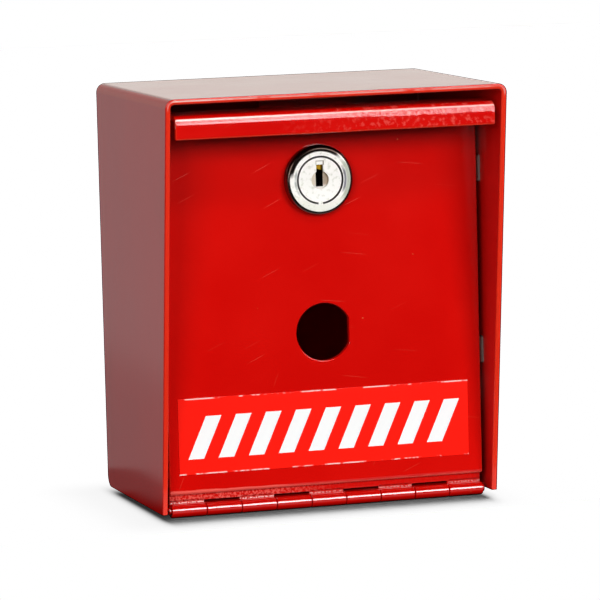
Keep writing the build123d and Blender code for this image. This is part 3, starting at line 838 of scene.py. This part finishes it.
# %% Hinge sizes
hinge_sheet = 1.0 * mm
hinge_axis = (0.0, barrel_y, barrel_z)
knuckle_count = 9
knuckle_gap = 0.3 * mm
hinge_length = barrel_high.x - barrel_low.x + knuckle_gap
knuckle_pitch = hinge_length / knuckle_count
notch = barrel_radius + 0.95 * mm
leaf_reach = 22.0 * mm
curl_points = 74
curl_turn = math.radians(305)
print("hinge axis", [round(c / mm, 2) for c in hinge_axis], "pitch", round(knuckle_pitch / mm, 2))


# %% Leaf with knuckles
def hinge_tree(tree, size):
    def in_plane(along, offset):
        """A place from its distance along the leaf and its distance off the axis."""
        first = tree.node("ShaderNodeVectorMath", {"operation": "SCALE"},
                          {"Vector": size["Leaf way"], "Scale": along})
        second = tree.node("ShaderNodeVectorMath", {"operation": "SCALE"},
                           {"Vector": size["Offset way"], "Scale": offset})
        both = tree.node("ShaderNodeVectorMath", {"operation": "ADD"}, {0: first, 1: second})
        return tree.node("ShaderNodeVectorMath", {"operation": "ADD"}, {0: both, 1: size["Axis"]})

    def swept_strip(count, along, offset, length):
        profile = rounded_block(tree, length, size["Gauge"], size["Edge"])
        return sweep(tree, bend_line(tree, count, in_plane(along, offset)), profile)

    index = tree.node("GeometryNodeInputIndex")
    middle = size["Knuckle radius"] - 0.5 * size["Gauge"]
    tongue = index < 0.5
    angle = (index - 1) * size["Curl step"]
    along = tongue * (size["Notch"] + size["Lap"]) - (1 - tongue) * middle * tree.math("SINE", angle)
    offset = tongue * middle + (1 - tongue) * middle * tree.math("COSINE", angle)
    curl = swept_strip(size["Curl points"], along, offset, size["Pitch"] - size["Gap"])

    row_start = tree.node("ShaderNodeCombineXYZ", {}, {"X": size["First"]})
    row_step = tree.node("ShaderNodeCombineXYZ", {}, {"X": 2 * size["Pitch"]})
    row = tree.node("GeometryNodeMeshLine", {},
                    {"Count": size["Knuckles"], "Start Location": row_start, "Offset": row_step})
    knuckles = tree.node("GeometryNodeInstanceOnPoints", {}, {"Points": row, "Instance": curl})

    far = size["Notch"] + index * (size["Reach"] - size["Notch"])
    strip = swept_strip(2, far, middle, size["Length"] - size["Gap"])
    joined = tree.node("GeometryNodeJoinGeometry")
    for part in (strip, knuckles):
        tree.links.new(part.socket, joined.socket.node.inputs["Geometry"])
    return joined


def hinge_leaf(name, knuckles, first, leaf_way, offset_way, body, stands_for):
    return grow(name, hinge_tree, {
        "Axis": hinge_axis, "Leaf way": leaf_way, "Offset way": offset_way,
        "Knuckle radius": barrel_radius, "Gauge": hinge_sheet, "Edge": 0.24 * mm, "Lap": 0.3 * mm,
        "Pitch": knuckle_pitch, "Gap": knuckle_gap, "Length": hinge_length,
        "Notch": notch, "Reach": leaf_reach, "First": first * knuckle_pitch,
        "Knuckles": knuckles,
        "Curl points": curl_points, "Curl step": curl_turn / (curl_points - 2),
    }, leaf_paint, body, stands_for)


# %% Both leaves
upwards, backwards = (0.0, 0.0, 1.0), (0.0, 1.0, 0.0)
door_leaf = hinge_leaf("door_leaf_of_the_hinge", 5, -4.0, upwards, backwards, "door", "hinge_door_leaf")
body_leaf = hinge_leaf("body_leaf_of_the_hinge", 4, -3.0, backwards, upwards, "housing", "hinge_body_leaf")

# %% [markdown]
# ## The band on the sticker
#
# The sticker carries a row of slanted white bars, cut from thin film and laid on the red. A bar is
# a flat plate that leans to the right, so it is a cube with its top pushed sideways, and the
# row is one cube set out along a line.


# %% White bars
def bars_tree(tree, size):
    bar_size = tree.node("ShaderNodeCombineXYZ", {},
                         {"X": size["Bar"], "Y": size["Film"], "Z": size["Height"]})
    plate = tree.node("GeometryNodeMeshCube", {}, {"Size": bar_size})
    _, _, height = axes(tree, tree.node("GeometryNodeInputPosition"))
    lean = tree.node("ShaderNodeCombineXYZ", {}, {"X": height * size["Lean"]})
    slanted = tree.node("GeometryNodeSetPosition", {}, {"Geometry": plate, "Offset": lean})
    step = tree.node("ShaderNodeCombineXYZ", {}, {"X": size["Pitch"]})
    row = tree.node("GeometryNodeMeshLine", {},
                    {"Count": size["Bars"], "Start Location": size["Start"], "Offset": step})
    return tree.node("GeometryNodeInstanceOnPoints", {}, {"Points": row, "Instance": slanted})


bar_count = 9
bar_pitch = 10.9 * mm
bar_film = 0.06 * mm
middle_x = 0.5 * (label_low.x + label_high.x)
grow("white_bars", bars_tree, {
    "Bar": 5.6 * mm, "Film": bar_film, "Height": 14.8 * mm, "Lean": 0.45, "Pitch": bar_pitch,
    "Start": (middle_x - (bar_count // 2) * bar_pitch, label_low.y - 0.5 * bar_film, 27.4 * mm),
    "Bars": bar_count,
}, white_film, "door", soften=False)

# %% [markdown]
# ## The stage
#
# The box stands on a white table in a white room. The table is a shadow catcher, so only the
# box's shadow is drawn on the white room. A glow that only the camera sees washes that shadow out
# a little way off the box, and the table ends there in front, so that the door, which hangs below
# it when open, still shows.
#
# Mirrors see the table glow beside and behind the box, weakly near it and more strongly past the
# heel and further off. In front they see none of that, so the door mirrors the dark studio and
# stays a pure red. Only the strip along the table's front edge glows for all but the camera, and
# it lights the knuckles from below.

# %% Table
def table_top(name):
    shadow_left, shadow_right = cad_low.x + 2 * mm, 55 * mm
    shadow_front, shadow_back = -24 * mm, 30 * mm
    material, tree, place = new_finish(name)
    across, along, _ = axes(tree, place)
    beside = (shadow_left - across).at_least(across - shadow_right).at_least(0.0)
    before = (shadow_front - along).at_least(along - shadow_back).at_least(0.0)
    clear = tree.fade(tree.distance(beside, before * 0.2), 0.0, 7 * mm)

    away = tree.fade(tree.distance(beside, before * 0.7), 2.5 * mm, 16 * mm)
    behind = tree.fade(along, -20 * mm, 30 * mm)
    off_side, off_back = (beside - 9 * mm).at_least(0.0), (along - 79 * mm).at_least(0.0)
    past_heel = tree.fade(tree.distance(off_side, off_back), 14.5 * mm, 18 * mm)
    far_off = tree.fade(beside, 87 * mm, 117 * mm)
    lit = away * behind * (0.38 + 0.62 * past_heel) * (0.31 + 0.13 * far_off)
    front_strip = tree.fade(along, -25 * mm, -31 * mm)

    seen, mirrored = tree.ray_kinds()
    glow = seen * (0.01 + 9.0 * clear * clear) + mirrored * lit + (1 - seen) * (0.45 * front_strip)
    shader = tree.node("ShaderNodeBsdfPrincipled", {},
                       {"Base Color": tree.blend(seen, (0, 0, 0, 1), (0.80, 0.80, 0.80, 1)),
                        "Roughness": 0.9, "Specular IOR Level": 0.0,
                        "Emission Color": glow, "Emission Strength": 1.0})
    tree.node("ShaderNodeOutputMaterial", {}, {"Surface": shader})
    return material


def rectangle(name, low_x, high_x, low_y, high_y, z):
    mesh = bpy.data.meshes.new(name)
    corners = [(low_x, low_y, z), (high_x, low_y, z), (high_x, high_y, z), (low_x, high_y, z)]
    mesh.from_pydata(corners, [], [(0, 1, 2, 3)])
    piece = bpy.data.objects.new(name, mesh)
    scene.collection.objects.link(piece)
    return piece


table = rectangle("white_table", low_x=-2.0, high_x=2.0, low_y=-0.050, high_y=2.5, z=cad_low.z)
table.data.materials.append(table_top("white_table_top"))
table.is_shadow_catcher = True
print("table at", round(cad_low.z / mm, 2))

# %% [markdown]
# ## The lamps
#
# Two softboxes, left and right of the camera, light the door and a third lights the box from
# behind. Wider copies of the first two light the wrap, so that no face of it mirrors a white
# square. A small lamp high up would draw a second line along the knuckles, so it leaves the hinge
# out. All of these leave the table to a lamp of its own, nearly overhead, which draws the shadow.


# %% Lamps
def receivers(name, state, *pieces):
    """A list of the pieces that a lamp lights, or leaves out."""
    listed = bpy.data.collections.new(name)
    for piece in pieces:
        listed.objects.link(piece)
    for entry in listed.collection_objects:
        entry.light_linking.link_state = state
    return listed


off_hinge = receivers("off_hinge", "EXCLUDE", table, door_leaf, body_leaf)
off_wrap = receivers("off_wrap", "EXCLUDE", table, wrap)
on_wrap = receivers("on_wrap", "INCLUDE", wrap)
on_table = receivers("on_table", "INCLUDE", table)


def softbox(name, turn, lift, distance, size, power, lights):
    """A lamp that looks at the box from so many degrees right of the front and above the table."""
    way = Vector((math.sin(math.radians(turn)) * math.cos(math.radians(lift)),
                  -math.cos(math.radians(turn)) * math.cos(math.radians(lift)),
                  math.sin(math.radians(lift))))
    lamp = bpy.data.lights.new(name, "AREA")
    lamp.shape = "RECTANGLE"
    lamp.size, lamp.size_y = size
    lamp.energy = power
    holder = bpy.data.objects.new(name, lamp)
    holder.location = aim + distance * way
    holder.rotation_euler = (-way).to_track_quat("-Z", "Y").to_euler()
    scene.collection.objects.link(holder)
    holder.light_linking.receiver_collection = lights


softbox("left_softbox", -40, 17, 1.4, (0.56, 0.42), 9.9, off_wrap)
softbox("right_softbox", 28, 17, 1.4, (0.74, 0.42), 12.2, off_wrap)
softbox("left_wide_softbox", -40, 17, 1.4, (1.50, 1.00), 10.6, on_wrap)
softbox("right_wide_softbox", 28, 17, 1.4, (1.50, 1.00), 12.8, on_wrap)
softbox("high_lamp", 25, 49, 1.3, (0.36, 0.20), 4.2, off_hinge)
softbox("back_softbox", 205, 24, 1.4, (0.70, 0.50), 9.0, off_wrap)
softbox("table_lamp", 55, 86, 1.4, (0.20, 0.20), 24.0, on_table)

# %% [markdown]
# ## The room
#
# The camera sees plain white. Mirrors see a room that is dark in front and lighter behind, most of
# all low down at the right, and dull faces get a little light from behind, mostly from the left.

# %% World
world = bpy.data.worlds.new("white_room")
world.use_nodes = True
world.node_tree.nodes.clear()
room = Tree(world.node_tree)
across, along, height = axes(room, room.node("ShaderNodeTexCoord", output="Generated"))
seen, mirrored = room.ray_kinds()
behind = room.fade(along, -0.25, 0.12)
rightward = room.fade(across, -0.28, 0.26)
high = room.fade(height, 0.14, 0.34)
backdrop = 0.02 + behind * (0.46 + 0.47 * rightward) * (1 - 0.5 * high)
fill = 0.04 + behind * (0.16 - 0.12 * rightward)
level = seen.at_least(mirrored * backdrop + (1 - mirrored) * fill)
tint = room.blend(seen, (1.0, 1.0, 0.94, 1), (1, 1, 1, 1))
light = room.node("ShaderNodeBackground", {}, {"Color": tint, "Strength": level})
room.node("ShaderNodeOutputWorld", {}, {"Surface": light})
scene.world = world
scene.view_settings.view_transform = "Standard"
